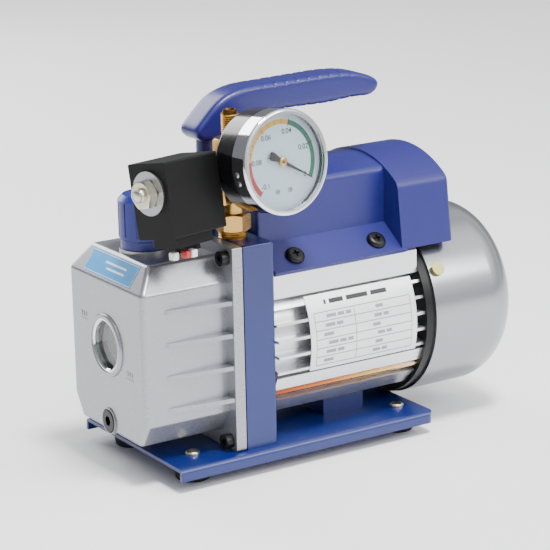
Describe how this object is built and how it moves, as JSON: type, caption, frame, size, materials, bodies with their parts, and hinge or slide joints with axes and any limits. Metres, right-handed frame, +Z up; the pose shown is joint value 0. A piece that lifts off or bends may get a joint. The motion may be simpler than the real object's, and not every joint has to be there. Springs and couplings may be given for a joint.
{
  "type": "rotary vane vacuum pump",
  "caption": "Single-stage rotary vane vacuum pump with finned motor, oil tank with sight glass, vacuum gauge, inlet solenoid valve and carry handle on a footed base plate.",
  "frame": {"origin": "centre of the four rubber feet on the floor", "axes": "+X along the shaft from the oil tank to the motor, +Z up, -Y the side with the vacuum gauge"},
  "size_m": [0.2737, 0.1357, 0.2287],
  "materials": {
    "brushed_steel_turned": "turned",
    "painted_metal_satin_powder_coat": "satin powder coat",
    "gloss_plastic_white": "white",
    "brushed_steel_bright_steel": "bright steel",
    "painted_metal_black_oxide": "black oxide",
    "matte_plastic_black": "black",
    "brushed_steel_zinc_plated": "zinc plated",
    "painted_metal_silver_paint": "silver paint",
    "matte_plastic_moulded_blue": "moulded blue",
    "brass_turned": "turned",
    "chrome_polished": "polished",
    "painted_metal_printed_white": "printed white",
    "glass_clear": "clear",
    "painted_metal_matt_black": "matt black",
    "painted_metal_textured_powder_coat": "textured powder coat",
    "aluminium_extruded": "extruded",
    "brushed_steel_laminated_steel": "laminated steel",
    "brass_enamelled_copper": "enamelled copper",
    "painted_metal_silver_paint_b": "silver paint",
    "cast_iron_ground": "ground",
    "painted_metal_white_label": "white label",
    "painted_metal_gloss_black": "gloss black",
    "rubber_matte": "matte",
    "chrome_polished_b": "polished",
    "brass_yellow_zinc": "yellow zinc",
    "matte_plastic_carbon_composite": "carbon composite"
  },
  "bodies": {
    "pump_body": {"armature_tube": "brushed_steel_turned", "base_plate": "painted_metal_satin_powder_coat", "capacitor": "gloss_plastic_white", "capacitor_clip": "brushed_steel_bright_steel", "cartridge_bolts": "painted_metal_black_oxide", "coil": "matte_plastic_black", "coil_nut": "brushed_steel_zinc_plated", "coil_washer": "brushed_steel_zinc_plated", "cover_screws": "painted_metal_black_oxide", "discharge_reed": "brushed_steel_bright_steel", "fan_cover": "painted_metal_silver_paint", "fan_cover_screws": "brushed_steel_zinc_plated", "flare_port": "brass_turned", "foot_screws": "brushed_steel_zinc_plated", "front_bearing": "brushed_steel_bright_steel", "gauge_bezel": "chrome_polished", "gauge_case": "matte_plastic_black", "gauge_dial": "painted_metal_printed_white", "gauge_glass": "glass_clear", "gauge_movement": "brass_turned", "gauge_stem": "brass_turned", "handle_grip": "painted_metal_textured_powder_coat", "handle_post": "painted_metal_textured_powder_coat", "inlet_fitting": "brass_turned", "motor_cradle": "painted_metal_satin_powder_coat", "motor_frame": "aluminium_extruded", "motor_stator_core": "brushed_steel_laminated_steel", "motor_windings": "brass_enamelled_copper", "oil_tank": "painted_metal_silver_paint_b", "plunger_spring": "brushed_steel_bright_steel", "power_inlet": "matte_plastic_black", "pump_block": "painted_metal_satin_powder_coat", "pump_end_plate": "cast_iron_ground", "pump_stator": "cast_iron_ground", "rating_plate": "painted_metal_white_label", "rear_bearing": "brushed_steel_bright_steel", "rear_end_bell": "painted_metal_gloss_black", "reed_stop": "brushed_steel_bright_steel", "rubber_feet": "rubber_matte", "shaft_seal": "rubber_matte", "sight_glass": "glass_clear", "sight_glass_ring": "chrome_polished_b", "switch_frame": "matte_plastic_black", "tank_bolts": "painted_metal_black_oxide", "tank_gasket": "rubber_matte", "terminal_block": "matte_plastic_black", "through_bolts": "brass_yellow_zinc", "top_cover": "painted_metal_textured_powder_coat", "valve_body": "brass_turned"},
    "rotor": {"pump_rotor": "cast_iron_ground", "motor_shaft": "brushed_steel_bright_steel", "motor_rotor_core": "brushed_steel_laminated_steel", "cooling_fan": "matte_plastic_black"},
    "vane_a": {"vane_left": "matte_plastic_carbon_composite"},
    "vane_b": {"vane_right": "matte_plastic_carbon_composite"},
    "needle": {"gauge_needle": "painted_metal_matt_black"},
    "rocker": {"switch_rocker": "matte_plastic_black"},
    "cap": {"fill_cap": "matte_plastic_moulded_blue"},
    "drain": {"drain_plug": "matte_plastic_black"},
    "valve_plunger": {"plunger": "brushed_steel_bright_steel"}
  },
  "joints": [
    {"name": "rotor_spin", "type": "hinge", "parent": "pump_body", "child": "rotor", "pos_m": [0, 0, 0.0736], "axis": [1, 0, 0], "continuous": true},
    {"name": "vane_a_slide", "type": "slide", "parent": "rotor", "child": "vane_a", "axis": [0, 1, 0], "range_m": [0, 0.0019], "stiffness_N_per_m": 200, "springref_m": -0.001},
    {"name": "vane_b_slide", "type": "slide", "parent": "rotor", "child": "vane_b", "axis": [0, -1, 0], "range_m": [0, 0.0019], "stiffness_N_per_m": 200, "springref_m": -0.001},
    {"name": "gauge_needle_turn", "type": "hinge", "parent": "pump_body", "child": "needle", "pos_m": [-0.02606, -0.06715, 0.19294], "axis": [0.104, -0.9891, 0.1045], "range_deg": [0, 255], "stiffness_Nm_per_rad": 0.002},
    {"name": "switch_rock", "type": "hinge", "parent": "pump_body", "child": "rocker", "pos_m": [0.111, 0.021, 0.1475], "axis": [0, 1, 0], "range_deg": [0, 12]},
    {"name": "fill_cap_lift", "type": "slide", "parent": "pump_body", "child": "cap", "axis": [0, 0, 1], "range_m": [0, 0.03]},
    {"name": "drain_plug_draw", "type": "slide", "parent": "pump_body", "child": "drain", "axis": [-1, 0, 0], "range_m": [0, 0.02]},
    {"name": "solenoid_stroke", "type": "slide", "parent": "pump_body", "child": "valve_plunger", "axis": [-0.9744, -0.225, 0], "range_m": [0, 0.003], "stiffness_N_per_m": 1500, "springref_m": -0.002}
  ]
}
